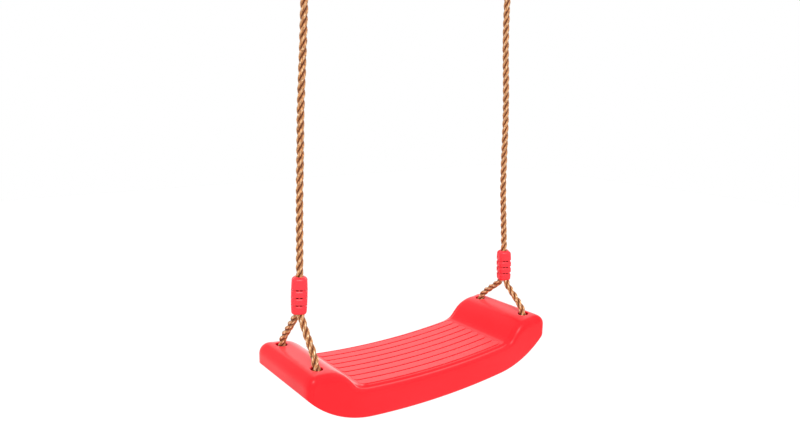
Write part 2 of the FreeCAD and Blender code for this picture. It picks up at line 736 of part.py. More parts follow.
def pivot_bolt(side):
    head = place(hexagon("bolt_head", "sheet.bolt_head"), f"-{STACK} - sheet.bolt_head")
    length = f"2 * {STACK} + sheet.nut_height + sheet.bolt_end"
    shank = cylinder("bolt_shank", "sheet.bolt_radius", length, X_AXIS)
    place(shank, f"-{STACK}")
    label = f"{side}_pivot_bolt"
    obj = fuse(label, [head, shank])
    place(obj, hang_x(side), "0", "sheet.pivot_level")
    return name_part(obj, label)


def pivot_nut(side):
    blank = place(hexagon("nut_blank", "sheet.nut_height"), STACK)
    thread = through_drill("nut_thread", "sheet.bolt_radius + sheet.thread_gap")
    label = f"{side}_pivot_nut"
    obj = cut(label, blank, thread)
    place(obj, hang_x(side), "0", "sheet.pivot_level")
    return name_part(obj, label)


def washers(side):
    discs = []
    for sign in (-1, 1):
        disc = cylinder("washer", "sheet.washer_radius", "sheet.washer_wall", X_AXIS * sign)
        discs.append(place(disc, f"{sign} * (sheet.ear_gap + sheet.ear_wall)"))
    pair = doc.addObject("Part::Compound", "washer_pair")
    pair.Links = discs
    bore = through_drill("washer_bore", "sheet.bolt_radius + sheet.washer_gap")
    label = f"{side}_washers"
    obj = cut(label, pair, bore)
    place(obj, hang_x(side), "0", "sheet.pivot_level")
    return name_part(obj, label)


# ---------------------------------------------------------------- whole swing
seat()
for side_name in SIDES:
    loop_rope(side_name)
    clamped_rope(side_name)
    main_rope(side_name)
    eye_rope(side_name)
    sleeves(side_name)
    thimble(side_name)
    hanger_link(side_name)
    bushes(side_name)
    bracket(side_name)
    pivot_bolt(side_name)
    pivot_nut(side_name)
    washers(side_name)
doc.recompute()

for item in doc.Objects:
    if "Invalid" in item.State or "Error" in item.State:
        raise RuntimeError(f"{item.Label} did not compute: {item.State}")
for item in kept:
    if item.Shape.isNull() or not item.Shape.isValid():
        raise RuntimeError(f"{item.Label} has no valid shape")

os.makedirs("parts", exist_ok=True)
for item in kept:
    item.Shape.exportStep(f"parts/{item.Label}.step")
    print(f"{item.Label}: {len(item.Shape.Solids)} solid(s), {item.Shape.Volume / 1000:.1f} cm3")
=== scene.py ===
import json
import math

import bmesh
import bpy
import numpy as np
from mathutils import Matrix, Vector

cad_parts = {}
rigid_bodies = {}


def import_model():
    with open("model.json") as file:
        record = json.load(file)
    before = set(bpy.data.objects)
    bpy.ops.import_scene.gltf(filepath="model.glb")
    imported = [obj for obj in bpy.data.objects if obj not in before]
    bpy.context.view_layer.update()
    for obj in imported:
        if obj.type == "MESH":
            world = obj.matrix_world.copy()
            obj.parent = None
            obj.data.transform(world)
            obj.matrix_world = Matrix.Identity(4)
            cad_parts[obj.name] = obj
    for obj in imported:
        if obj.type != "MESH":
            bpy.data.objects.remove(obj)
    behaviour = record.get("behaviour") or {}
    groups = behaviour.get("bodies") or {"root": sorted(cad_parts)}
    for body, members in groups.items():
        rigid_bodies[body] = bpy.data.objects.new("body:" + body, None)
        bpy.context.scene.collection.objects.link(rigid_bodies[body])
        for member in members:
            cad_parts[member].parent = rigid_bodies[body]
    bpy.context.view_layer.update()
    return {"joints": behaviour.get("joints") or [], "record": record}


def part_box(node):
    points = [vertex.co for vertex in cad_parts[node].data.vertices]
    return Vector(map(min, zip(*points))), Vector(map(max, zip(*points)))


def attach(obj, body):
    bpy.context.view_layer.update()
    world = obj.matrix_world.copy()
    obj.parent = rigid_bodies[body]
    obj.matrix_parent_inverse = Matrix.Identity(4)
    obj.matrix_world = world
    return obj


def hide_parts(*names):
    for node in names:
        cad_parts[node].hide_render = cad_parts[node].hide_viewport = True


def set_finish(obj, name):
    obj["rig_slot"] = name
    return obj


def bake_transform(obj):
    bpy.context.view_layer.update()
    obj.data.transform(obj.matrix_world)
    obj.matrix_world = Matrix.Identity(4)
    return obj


# Board swing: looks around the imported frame. Metres, row frame: +Z up, X along the seat,
# front of the seat towards -Y, origin on the beam face midway between the hangers.

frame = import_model()

joint_place = {joint["name"]: Vector(joint["pos_m"]) for joint in frame["joints"]}
SIDES = {"left": -1, "right": 1}
SPREAD = 0.1885
SLEEVE_TALL = 0.0495
LOOP_AXIS_RISE = 0.0520
HOLE_LEVEL = joint_place["seat_pitch"].z - LOOP_AXIS_RISE

# ---------------------------------------------------------------- camera
CAMERA_PLACE = Vector((-0.5683, -0.7322, HOLE_LEVEL + 0.34625))
CAMERA_AZIMUTH = math.radians(-36.62)
CAMERA_PITCH = math.radians(10.52)
CAMERA_ROLL = math.radians(0.92)
CAMERA_LENS = 29.3
SENSOR_WIDTH = 36
CLIP_START = 0.01


def add_camera():
    data = bpy.data.cameras.new("camera")
    data.sensor_width = SENSOR_WIDTH
    data.lens = CAMERA_LENS
    data.clip_start = CLIP_START
    camera = bpy.data.objects.new("camera", data)
    bpy.context.scene.collection.objects.link(camera)
    side = Vector((math.cos(CAMERA_AZIMUTH), math.sin(CAMERA_AZIMUTH), 0))
    ahead = Vector((-side.y, side.x, 0))
    forward = ahead * math.cos(CAMERA_PITCH) - Vector((0, 0, math.sin(CAMERA_PITCH)))
    rise = side.cross(forward)
    right = side * math.cos(CAMERA_ROLL) + rise * math.sin(CAMERA_ROLL)
    up = rise * math.cos(CAMERA_ROLL) - side * math.sin(CAMERA_ROLL)
    turn = Matrix((right, up, -forward)).transposed().to_4x4()
    camera.matrix_world = Matrix.Translation(CAMERA_PLACE) @ turn
    bpy.context.scene.camera = camera


add_camera()

# ---------------------------------------------------------------- ropes
ROPE_LAY = 0.038
STRANDS = 3
STRAND_CENTRE = 0.00245
STRAND_RADIUS = 0.00255
STRAND_STEPS = 34
YARNS = 4
YARN_RISE = 0.00024
YARN_SHADE = 0.5
YARN_TWIST = 1.75
YARN_SHIFT = 0.7
YARN_HOLLOW = 0.35
LANE_SHIFT = 2.3
ALONG_AXIS = 0.8
# How the yarns wander along the rope: (radians, radians a metre, phase)
YARN_WANDER = [(0.9, 97.0, 0.0), (0.7, 211.0, 1.3)]
SPLINE_STEPS = 28
MAIN_PHASE = {"left": 0.4, "right": 1.5}
LOOP_PHASE = {"left": 0.9, "right": 0.2}

# Routes in metres, within a few millimetres of the CAD tubes and run on into the sleeves: the
# leg from its sleeve down into its hole, as (off the seat's centre line, height over the hole
# level); the eye, as (sideways, height over the eye's centre); and the main rope, by heights
# over the lower sleeve's top, as how far it drifts along the seat and swings across it.
LEG_ROUTES = {
    "left": [
        (0.0028, 0.0710),
        (0.0040, 0.0620),
        (0.0085, 0.0520),
        (0.0240, 0.0345),
        (0.0425, 0.0140),
    ],
    "right": [
        (0.0028, 0.0565),
        (0.0040, 0.0470),
        (0.0090, 0.0370),
        (0.0250, 0.0250),
        (0.0430, 0.0105),
    ],
}
UNDER_ROUTE = [(0.0490, 0.0005), (0.0490, -0.0200), (0.0200, -0.0208)]
EYE_ROUTE = [(0.0030, -0.052), (0.0045, -0.040), (0.0120, -0.0247)]
EYE_STEP = math.radians(45)
EYE_RADIUS = 0.0185
EYE_NECK = 0.0395
ROPE_HEIGHTS = [0.046, 0.101, 0.158, 0.214, 0.270, 0.325, 0.372]
ROPE_DRIFT = {
    "left": [-0.0003, -0.0014, -0.0018, -0.0034, -0.0022, -0.0010, 0.0],
    "right": [-0.0009, -0.0030, -0.0022, -0.0012, -0.0026, -0.0044, -0.0024],
}
ROPE_SWING = [0.0008, 0.0015, 0.0006, -0.0007, -0.0014, -0.0008, 0.0]


def spline_points(name, route):
    """The smooth line of a NURBS spline that has the route's points as its control points."""
    data = bpy.data.curves.new(name, "CURVE")
    data.dimensions = "3D"
    data.resolution_u = SPLINE_STEPS
    spline = data.splines.new("NURBS")
    spline.points.add(len(route) - 1)
    for point, place in zip(spline.points, route):
        point.co = (*place, 1)
    spline.order_u = 3
    spline.use_endpoint_u = True
    carrier = bpy.data.objects.new(name, data)
    bpy.context.scene.collection.objects.link(carrier)
    mesh = bpy.data.meshes.new_from_object(carrier)
    points = np.array([v.co for v in mesh.vertices])
    bpy.data.objects.remove(carrier)
    bpy.data.curves.remove(data)
    bpy.data.meshes.remove(mesh)
    return points


def distance_along(points):
    return np.concatenate([[0], np.cumsum(np.linalg.norm(np.diff(points, axis=0), axis=1))])


def carried_frames(points):
    """Directions across the line that don't twist about it."""
    ahead = np.gradient(points, axis=0)
    ahead /= np.linalg.norm(ahead, axis=1)[:, None]
    along_x = abs(ahead[0][0]) >= ALONG_AXIS
    start = np.array([0, 1.0, 0]) if along_x else np.array([1.0, 0, 0])
    first = np.cross(ahead[0], np.cross(start, ahead[0]))
    across = [first / np.linalg.norm(first)]
    for heading in ahead[1:]:
        side = across[-1] - heading * across[-1].dot(heading)
        across.append(side / np.linalg.norm(side))
    across = np.array(across)
    return across, np.cross(ahead, across)


def strand_section():
    """The rope's section by angle: its radius, the angle on its own strand, and the strand."""
    strand_turn = 2 * math.pi / STRANDS
    around = STRANDS * STRAND_STEPS
    angle = np.arange(around) * 2 * math.pi / around
    local = (angle + strand_turn / 2) % strand_turn - strand_turn / 2
    reach = STRAND_CENTRE * np.cos(local)
    reach = reach + np.sqrt(STRAND_RADIUS**2 - (STRAND_CENTRE * np.sin(local)) ** 2)
    yarn_angle = np.arctan2(reach * np.sin(local), reach * np.cos(local) - STRAND_CENTRE)
    return angle, reach, yarn_angle, np.round((angle - local) / strand_turn)


def tube_faces(rows, around):
    """Faces of a tube of rings, with a fan to a middle point at each end."""
    faces = []
    for row in range(rows - 1):
        base = row * around
        for k in range(around):
            after = (k + 1) % around
            faces.append((base + k, base + after, base + around + after, base + around + k))
    last = (rows - 1) * around
    for k in range(around):
        after = (k + 1) % around
        faces.append((rows * around, after, k))
        faces.append((rows * around + 1, last + k, last + after))
    return faces


def laid_rope(name, points, phase=0.0):
    """A closed tube whose section is three strands side by side, twisted along the line."""
    across, beside = carried_frames(points)
    along = distance_along(points)
    angle, reach, yarn_angle, strand = strand_section()
    crest = (reach - reach.min()) / (reach.max() - reach.min())
    rings = []
    strand_light = []
    for centre, out, side, reached in zip(points, across, beside, along):
        twist = phase + 2 * math.pi * reached / ROPE_LAY
        wander = sum(amount * math.sin(reached * rate + at) for amount, rate, at in YARN_WANDER)
        yarn = YARNS * (yarn_angle + YARN_TWIST * twist + strand * YARN_SHIFT) + wander
        radius = reach + YARN_RISE * np.cos(yarn) * (YARN_HOLLOW + (1 - YARN_HOLLOW) * crest)
        bearing = angle + twist
        heading = np.cos(bearing)[:, None] * out + np.sin(bearing)[:, None] * side
        rings.append(centre + radius[:, None] * heading)
        # painted shade and highlight: how far out the strand is, darkened between the yarns, later
        # picks the colour
        strand_light.append(crest * (1 - YARN_SHADE * (0.5 - 0.5 * np.cos(yarn))))
    rows = len(points)
    around = len(angle)
    verts = np.concatenate(rings + [points[:1], points[-1:]])
    mesh = bpy.data.meshes.new(name)
    mesh.from_pydata(verts.tolist(), [], tube_faces(rows, around))
    mesh.shade_smooth()
    # kept as the 'crest' attribute, which paints shade in the gaps and highlight on the crests
    strand_light_values = np.concatenate(strand_light + [[1.0, 1.0]]).astype(np.float32)
    mesh.attributes.new("crest", "FLOAT", "POINT").data.foreach_set("value", strand_light_values)
    corner = np.zeros(len(mesh.loops), np.int32)
    mesh.loops.foreach_get("vertex_index", corner)
    ring_index = np.minimum(corner // around, rows - 1)
    twist = 2 * math.pi * along[ring_index] / ROPE_LAY
    k = corner % around
    lane = yarn_angle[k] + YARN_TWIST * twist + strand[k] * LANE_SHIFT
    places = np.column_stack([lane * STRAND_RADIUS, along[ring_index]]).astype(np.float32)
    mesh.uv_layers.new(name="strand").data.foreach_set("uv", places.ravel())
    obj = bpy.data.objects.new(name, mesh)
    bpy.context.scene.collection.objects.link(obj)
    return obj


THIMBLE_DROP = 0.0067
# Along the leaning rope: its foot and its exit, from the lower sleeve's top; its entry, its
# offset there and its end, from the upper sleeve's foot; and where a bend starts and ends
ROPE_FOOT = -0.040
ROPE_EXIT = 0.0016
UPPER_ENTRY = 0.004
UPPER_SWING = 0.0003
UPPER_REACH = 0.028


def lean_of(side):
    """The leaning rope's frame, at its lower sleeve's top, and its length up to the hanger."""
    foot = joint_place[f"{side}_sleeve_flex"]
    up = joint_place[f"{side}_sway"] - foot
    turn = Matrix.Rotation(math.atan2(up.x, up.z), 4, "Y")
    return Matrix.Translation(foot) @ turn, up.length


def upper_sleeve(side):
    """Height of the upper sleeve's lower end along the leaning rope."""
    return lean_of(side)[1] - THIMBLE_DROP - EYE_NECK - SLEEVE_TALL


def laid_cord(side, name, route, phase, *nodes):
    """A laid rope along a route, given the rope finish, that replaces its side's CAD nodes, which
    are hidden.
    """
    points = spline_points("route", route)
    rope = laid_rope(f"{side}_{name}", points, phase)
    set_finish(rope, "rope")
    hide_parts(*[f"{side}_{node}" for node in nodes])
    return rope


def main_rope(side):
    lean = lean_of(side)[0]
    end = upper_sleeve(side)
    route = [(0.0, 0.0, ROPE_FOOT), (0.0, 0.0, ROPE_EXIT)]
    route += zip(ROPE_DRIFT[side], ROPE_SWING, ROPE_HEIGHTS)
    route += [(0.0, UPPER_SWING, end + UPPER_ENTRY), (0.0, 0.0, end + UPPER_REACH)]
    route = [lean @ Vector(point) for point in route]
    rope = laid_cord(side, "main_rope", route, MAIN_PHASE[side], "rope", "clamped_rope")
    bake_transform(rope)


def eye_rope(side):
    lean, rope_length = lean_of(side)
    centre = rope_length - THIMBLE_DROP
    radius = EYE_RADIUS / math.cos(EYE_STEP / 2)
    turns = [(step - 0.5) * EYE_STEP for step in range(6)]
    ring = [(radius * math.cos(turn), radius * math.sin(turn)) for turn in turns]
    down = [(-x, z) for x, z in reversed(EYE_ROUTE)]
    route = [lean @ Vector((x, 0, centre + z)) for x, z in EYE_ROUTE + ring + down]
    rope = laid_cord(side, "rope_eye", route, 0.0, "eye_rope")
    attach(rope, f"{side}_rope")


def loop_rope(side):
    foot = lean_of(side)[0] @ Vector((0, 0, -SLEEVE_TALL))
    hole_x = SIDES[side] * SPREAD
    drift = (foot.x - hole_x) / (foot.z - HOLE_LEVEL)
    leg = LEG_ROUTES[side] + UNDER_ROUTE
    front = [(hole_x + drift * max(z, 0), -y, z + HOLE_LEVEL) for y, z in leg]
    back = [(x, -y, z) for x, y, z in reversed(front)]
    rope = laid_cord(side, "seat_loop", front + back, LOOP_PHASE[side], "loop_rope")
    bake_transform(rope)


for side in SIDES:
    main_rope(side)
    eye_rope(side)
    loop_rope(side)


# ---------------------------------------------------------------- mesh helpers
RIGHT_ANGLE = math.pi / 2
SHARP = math.radians(38)


def mesh_object(name, quads):
    """An object from a list of four-cornered faces, joined where their corners meet."""
    corners = np.array(quads, float).reshape(-1, 3)
    places, where = np.unique(np.round(corners, 8), axis=0, return_inverse=True)
    faces = []
    for face in where.reshape(-1, 4).tolist():
        ring = [corner for i, corner in enumerate(face) if corner != face[i - 1]]
        if len(set(ring)) > 2:
            faces.append(ring)
    mesh = bpy.data.meshes.new(name)
    mesh.from_pydata(places.tolist(), [], faces)
    mesh.validate()
    obj = bpy.data.objects.new(name, mesh)
    bpy.context.scene.collection.objects.link(obj)
    return obj


def between(first, second, closed=False):
    """Faces between two rows of points."""
    count = len(first) if closed else len(first) - 1
    faces = []
    for i in range(count):
        after = (i + 1) % len(first)
        faces.append((first[i], first[after], second[after], second[i]))
    return faces


def grid(rows, closed=False):
    faces = []
    for first, second in zip(rows, rows[1:]):
        faces += between(first, second, closed)
    return faces


def flipped(faces):
    return [tuple(reversed(face)) for face in faces]


def finish_mesh(obj):
    """Smooth shading, with the creases kept sharp."""
    obj.data.shade_smooth()
    obj.data.set_sharp_from_angle(angle=SHARP)
    return obj


def carve(obj, tool):
    """Takes the tool's solid out of obj."""
    modifier = obj.modifiers.new("carve", "BOOLEAN")
    modifier.operation = "DIFFERENCE"
    modifier.solver = "MANIFOLD"
    modifier.object = tool
    seen = obj.evaluated_get(bpy.context.evaluated_depsgraph_get())
    mesh = bpy.data.meshes.new_from_object(seen)
    obj.modifiers.clear()
    obj.data = mesh
    bpy.data.objects.remove(tool)


def join(name, pieces):
    """One object from several, which keep their own faces."""
    form = bmesh.new()
    for piece in pieces:
        piece.data.transform(piece.matrix_world)
        form.from_mesh(piece.data)
        bpy.data.objects.remove(piece)
    mesh = bpy.data.meshes.new(name)
    form.to_mesh(mesh)
    form.free()
    obj = bpy.data.objects.new(name, mesh)
    bpy.context.scene.collection.objects.link(obj)
    return obj


# ---------------------------------------------------------------- seat
seat_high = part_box("seat_board")[1]
HALF_LENGTH = seat_high.x
HALF_WIDTH = seat_high.y
SEAT_WALL = 0.0035
BOARD_LEVEL = -0.0400
BOARD_CURVE = 1.300
PANEL_HALF = 0.128
FOOT_RADIUS = 0.022
SLOPE = math.radians(50)
SLOPE_LENGTH = 0.0102
CROWN_RADIUS = 0.050
CROWN = math.radians(5)
END_RADIUS = 0.016
PANEL_EDGE = 0.007
HUMP_EDGE = 0.0140
CORNER_EDGE = 0.0088
RIM_LEVEL = -0.0806
RIM_CURVE = 1.185
RIM_TURN = 0.118
RIM_END = -0.0275
BAR_RISE = 0.0010
BAR_PITCH = 0.0155
BAR_GAP = 0.0023
BAR_HALF = 0.129
BAR_COUNT = 8
HOLE_REACH = 0.0495
HOLE_RADIUS = 0.008
BOSS_RADIUS = 0.011
RIB_WALL = 0.0024
RIB_PITCH = 0.060
RIB_OFFSET = 0.025
RIB_END = 0.165
RIB_RECESS = 0.007
SHARED = 0.0005
END_STEPS = 7
END_SHARES = [step / END_STEPS for step in range(END_STEPS + 1)]
LIP_ROUNDING = 0.0009


def turned(centre, radius, angle):
    return np.array([centre[0] + radius * math.cos(angle), centre[1] + radius * math.sin(angle)])


def arc_rows(centre, radius, start, end, steps, hollow=False):
    """Points of an arc and their outward directions; a hollow arc's are towards its centre."""
    side = -1 if hollow else 1
    rows = []
    for angle in np.linspace(start, end, steps + 1)[1:]:
        heading = np.array([math.cos(angle), math.sin(angle)])
        rows.append((*turned(centre, radius, angle), *(side * heading)))
    return rows


def run_rows(start, angle, length, steps):
    """Points of a straight run and their outward directions."""
    across = (-math.sin(angle), math.cos(angle))
    reaches = [step * length / steps for step in range(1, steps + 1)]
    return [(*turned(start, reach, angle), *across) for reach in reaches]


def seat_profile():
    """The whole of the seat's top in side view, from its left end to its right one.

    Each row is a point and its outward direction, in the hole level's frame.
    """
    panel_turn = math.asin(PANEL_HALF / BOARD_CURVE)
    panel_centre = (0, BOARD_LEVEL + BOARD_CURVE)
    panel_end = turned(panel_centre, BOARD_CURVE, panel_turn - RIGHT_ANGLE)
    foot_centre = turned(panel_end, FOOT_RADIUS, panel_turn + RIGHT_ANGLE)
    slope_start = turned(foot_centre, FOOT_RADIUS, SLOPE - RIGHT_ANGLE)
    slope_end = turned(slope_start, SLOPE_LENGTH, SLOPE)
    crown_centre = turned(slope_end, CROWN_RADIUS, SLOPE - RIGHT_ANGLE)
    crown_end = turned(crown_centre, CROWN_RADIUS, CROWN + RIGHT_ANGLE)
    top_x = HALF_LENGTH - END_RADIUS * (1 + math.sin(CROWN))
    top_run = (top_x - crown_end[0]) / math.cos(CROWN)
    top_end = turned(crown_end, top_run, CROWN)
    end_centre = turned(top_end, END_RADIUS, CROWN - RIGHT_ANGLE)
    half = [(0, BOARD_LEVEL, 0, 1)]
    panel_stop = panel_turn - RIGHT_ANGLE
    half += arc_rows(panel_centre, BOARD_CURVE, -RIGHT_ANGLE, panel_stop, 26, True)
    half += arc_rows(foot_centre, FOOT_RADIUS, panel_stop, SLOPE - RIGHT_ANGLE, 9, True)
    half += run_rows(slope_start, SLOPE, SLOPE_LENGTH, 5)
    half += arc_rows(crown_centre, CROWN_RADIUS, SLOPE + RIGHT_ANGLE, CROWN + RIGHT_ANGLE, 10)
    half += run_rows(crown_end, CROWN, top_run, 8)
    half += arc_rows(end_centre, END_RADIUS, CROWN + RIGHT_ANGLE, 0, 12)
    mirror = [(-x, z, -across, up) for x, z, across, up in reversed(half[1:])]
    return mirror + half


def rim_height(x):
    """Height of the skirt's lower edge."""
    x = abs(x)
    turn = math.asin(RIM_TURN / RIM_CURVE)
    if x <= RIM_TURN:
        return RIM_LEVEL + RIM_CURVE - math.sqrt(RIM_CURVE**2 - x**2)
    join_level = RIM_LEVEL + RIM_CURVE * (1 - math.cos(turn))
    run = HALF_LENGTH - RIM_TURN
    last = 2 * math.atan2(RIM_END - join_level, run) - turn
    radius = run / (math.sin(last) - math.sin(turn))
    centre_x = RIM_TURN - radius * math.sin(turn)
    centre_z = join_level + radius * math.cos(turn)
    return centre_z - math.sqrt(radius**2 - (x - centre_x) ** 2)


PROFILE = seat_profile()
PROFILE_X = [row[0] for row in PROFILE]
PROFILE_Z = [row[1] for row in PROFILE]


def top_height(x):
    return float(np.interp(x, PROFILE_X, PROFILE_Z))


def in_row(x, y, level):
    """A point given by its height over the hole level, in the row frame."""
    return (float(x), float(y), float(level + HOLE_LEVEL))


def smooth_step(value, low, high):
    share = min(1.0, max(0.0, (value - low) / (high - low)))
    return share * share * (3 - 2 * share)


def edge_radius(x):
    """The rounding of the long top edges: tight along the panel, full on the raised ends."""
    up = smooth_step(abs(x), PANEL_HALF, SPREAD)
    out = smooth_step(abs(x), SPREAD, HALF_LENGTH)
    return PANEL_EDGE + (HUMP_EDGE - PANEL_EDGE) * up + (CORNER_EDGE - HUMP_EDGE) * out


# The strip between the outer groove and the rolled edge: (in from the edge, share of the rise)
STRIP = [(0.0003, 0.2), (0.0009, 0.2), (0.0012, 0.5), (0.0024, 0.5), (0.0027, 0.9), (0.0045, 0.9)]
STRIP_WIDTH = 0.0051
STRIP += [(STRIP_WIDTH, 0.0)]
STRIP_FALL = 0.0019
STRIP_POWER = 1.5
HUMP_FALL = 0.2
# How far past the bars' tips the panel's relief starts and stops fading
FADE_START = 0.002
FADE_END = 0.034
TIP_FADE = 0.0024
# The underside: where the rope pads start and stop, their middles from the seat's own, and the
# height of their lower edges; then the collars round the rope holes
PAD_START = 0.1675
PAD_END = 0.2089
PAD_OFFSET = 0.022
PAD_HALF = 0.0045
PAD_LEVEL = -0.014
BOSS_TOP = -0.0017
BOSS_FOOT = -0.012
BOSS_BEVEL = 0.0004
BOSS_DRAFT = 0.0001
BORE_BEVEL = 0.0003


def on_panel(x):
    """1 along the sitting panel, fading to 0 up the slopes of the raised ends."""
    return 1 - smooth_step(abs(x), BAR_HALF + FADE_START, BAR_HALF + FADE_END)


def lift(x, share):
    """How far the skin stands over the panel's grooves: flush with the bars past their tips."""
    past_tips = smooth_step(abs(x), BAR_HALF - TIP_FADE, BAR_HALF)
    return BAR_RISE * (share + (1 - share) * past_tips) * on_panel(x)


def across_rows(x, inset):
    """The skin's section across the seat at x: (y, how far it lies below the profile)."""
    half = HALF_WIDTH - inset
    radius = edge_radius(x) - inset
    raised = 1 if inset == 0 else 0
    start = half - radius
    strip_fall = STRIP_FALL * (HUMP_FALL + (1 - HUMP_FALL) * on_panel(x))
    edge_sunk = strip_fall - raised * lift(x, STRIP[0][1])
    rows = []
    for turn in np.linspace(RIGHT_ANGLE, 0, 10):
        level = math.cos(turn)
        rows.append((start + radius * math.sin(turn), radius * (1 - level) + edge_sunk * level))
    for offset, share in STRIP:
        fallen = strip_fall * (1 - offset / STRIP_WIDTH) ** STRIP_POWER
        rows.append((start - offset, fallen - raised * lift(x, share)))
    inner = rows[-1][0]
    flat = [(y, -raised * lift(x, 0)) for y in np.linspace(inner, -inner, 17)[1:-1]]
    return [(-y, sunk) for y, sunk in rows + flat] + list(reversed(rows))


def seat_skin(inset):
    """The seat's outer skin, or an inner one that lies inset inside it, and its lower edge."""
    end_level = PROFILE[-1][1]
    ends = across_rows(HALF_LENGTH, inset)
    sections = [across_rows(row[0], inset) for row in PROFILE]
    sheet = []
    for number, (end_y, end_sunk) in enumerate(ends):
        reach = HALF_LENGTH - inset - end_sunk
        low = rim_height(reach) + LIP_ROUNDING
        down = [end_level + (low - end_level) * share for share in END_SHARES[1:]]
        line = [in_row(-reach, end_y, level) for level in reversed(down)]
        for (x, z, across, up), section in zip(PROFILE, sections):
            y, sunk = section[number]
            line.append(in_row(x - across * (inset + sunk), y, z - up * (inset + sunk)))
        line += [in_row(reach, end_y, level) for level in down]
        sheet.append(line)
    faces = grid(sheet)
    walls = {}
    upper = []
    for x, z, across, up in PROFILE:
        radius = edge_radius(x)
        x -= across * radius
        upper.append((x, z - up * radius, rim_height(x) + LIP_ROUNDING))
    for side in (-1, 1):
        y = side * (HALF_WIDTH - inset)
        lines = []
        for share in END_SHARES:
            lines.append([in_row(x, y, z + (low - z) * share) for x, z, low in upper])
        wall = grid(lines)
        faces += flipped(wall) if side < 0 else wall
        walls[side] = lines[-1]
    right_end = [line[-1] for line in sheet]
    left_end = [line[0] for line in sheet]
    loop = walls[-1] + right_end[1:-1] + walls[1][::-1] + left_end[::-1][1:-1]
    return (faces if inset == 0 else flipped(faces)), loop


# The lower edge's rounding: (share of the way in, how far it is lifted)
LIP = [(0, 0.0009), (0.03, 0.00045), (0.11, 0.00012), (0.25, 0), (0.75, 0)]
LIP += [(0.89, 0.00012), (0.97, 0.00045), (1, 0.0009)]


def seat_shell():
    outer, outer_edge = seat_skin(0)
    inner, inner_edge = seat_skin(SEAT_WALL)
    outer_edge = np.array(outer_edge)
    inner_edge = np.array(inner_edge)
    rows = []
    for share, rise in LIP:
        row = outer_edge + (inner_edge - outer_edge) * share
        row[:, 2] += rise - LIP_ROUNDING
        rows.append([tuple(point) for point in row])
    lip = flipped(grid(rows, closed=True))
    return mesh_object("seat_shell", outer + inner + lip)


def turned_solid(levels, centre, tilt=0.0, steps=48, bored=False):
    """A turned solid: (radius, height) rows, closed at both ends or bored through."""
    rows = []
    for radius, level in levels:
        ring = []
        for turn in np.linspace(0, 2 * math.pi, steps, endpoint=False):
            x = radius * math.cos(turn)
            ring.append(
                in_row(centre[0] + x, centre[1] + radius * math.sin(turn), level + x * tilt)
            )
        rows.append(ring)
    if not bored:
        for row in (rows[0], rows[-1]):
            middle = tuple(np.mean(row, axis=0))
            rows.insert(0 if row is rows[0] else len(rows), [middle] * steps)
    return grid(rows, closed=True)


HOLE_ROUNDING = 0.0012
# The hole cutters' lower and upper ends, and their flare at the upper one
HOLE_FOOT = -0.030
HOLE_TOP = 0.004
HOLE_FLARE = 0.0004


def hole_tool():
    """Cutters for the four rope holes, flared where they come out on top."""
    faces = []
    for side in SIDES.values():
        tilt = math.tan(CROWN) * side
        levels = [(HOLE_RADIUS, HOLE_FOOT)]
        for turn in np.linspace(0, RIGHT_ANGLE, 7):
            flare = HOLE_ROUNDING * (1 - math.cos(turn))
            levels.append((HOLE_RADIUS + flare, HOLE_ROUNDING * (math.sin(turn) - 1)))
        levels.append((HOLE_RADIUS + HOLE_ROUNDING + HOLE_FLARE, HOLE_TOP))
        for end in (-1, 1):
            faces += turned_solid(levels, (side * SPREAD, end * HOLE_REACH), tilt)
    return mesh_object("hole_tool", faces)


def web(stations, low_y, high_y, top, bottom):
    """An upright rib that follows the underside: stations along X, its top and bottom by X."""
    rings = []
    for x in stations:
        rings.append(
            [
                in_row(x, low_y, bottom(x)),
                in_row(x, high_y, bottom(x)),
                in_row(x, high_y, top(x)),
                in_row(x, low_y, top(x)),
            ]
        )
    faces = grid(rings, closed=True)
    return faces + [tuple(reversed(rings[0]))] + [tuple(rings[-1])]


def underside():
    """Ribs, rope pads and the collars round the rope holes, rooted in the moulded wall."""

    def rooted(x):
        return top_height(x) - SEAT_WALL / 2

    def shouldered(x):
        return top_height(x) - edge_radius(x)

    def recessed(x):
        return rim_height(x) + RIB_RECESS

    faces = []
    for middle in [step * RIB_PITCH for step in range(-2, 3)] + [-RIB_END, RIB_END]:
        stations = (middle - RIB_WALL / 2, middle + RIB_WALL / 2)
        reach = HALF_WIDTH - edge_radius(middle)
        wall = HALF_WIDTH - SEAT_WALL / 2
        faces += web(stations, -reach, reach, rooted, recessed)
        faces += web(stations, reach - SHARED, wall, shouldered, recessed)
        faces += web(stations, -wall, SHARED - reach, shouldered, recessed)
    stations = np.linspace(-RIB_END, RIB_END, 67)
    for middle in (-RIB_OFFSET, RIB_OFFSET):
        faces += web(stations, middle - RIB_WALL / 2, middle + RIB_WALL / 2, rooted, recessed)
    levels = [
        (HOLE_RADIUS, BOSS_TOP),
        (HOLE_RADIUS, BOSS_FOOT + BORE_BEVEL),
        (HOLE_RADIUS + BORE_BEVEL, BOSS_FOOT),
        (BOSS_RADIUS - BOSS_BEVEL, BOSS_FOOT),
        (BOSS_RADIUS, BOSS_FOOT + BOSS_BEVEL),
        (BOSS_RADIUS + BOSS_DRAFT, BOSS_TOP),
        (HOLE_RADIUS, BOSS_TOP),
    ]
    for side in SIDES.values():
        stations = sorted(side * x for x in np.linspace(PAD_START, PAD_END, 12))
        for middle in (-PAD_OFFSET, PAD_OFFSET):
            low_y, high_y = middle - PAD_HALF, middle + PAD_HALF
            faces += web(stations, low_y, high_y, rooted, lambda x: PAD_LEVEL)
        for end in (-1, 1):
            collar = turned_solid(levels, (side * SPREAD, end * HOLE_REACH), bored=True)
            faces += flipped(collar)
    return mesh_object("underside", faces)


# A bar's section, from its flat top out and down: (out from its outline, up the rise)
BAR_SECTION = [
    (-0.0022, 1.0),
    (-0.0008, 1.0),
    (-0.0004, 0.94),
    (-0.00012, 0.8),
    (0.0, 0.6),
    (0.00002, 0.36),
    (0.0001, 0.17),
    (0.0003, 0.05),
    (0.0006, -0.02),
]


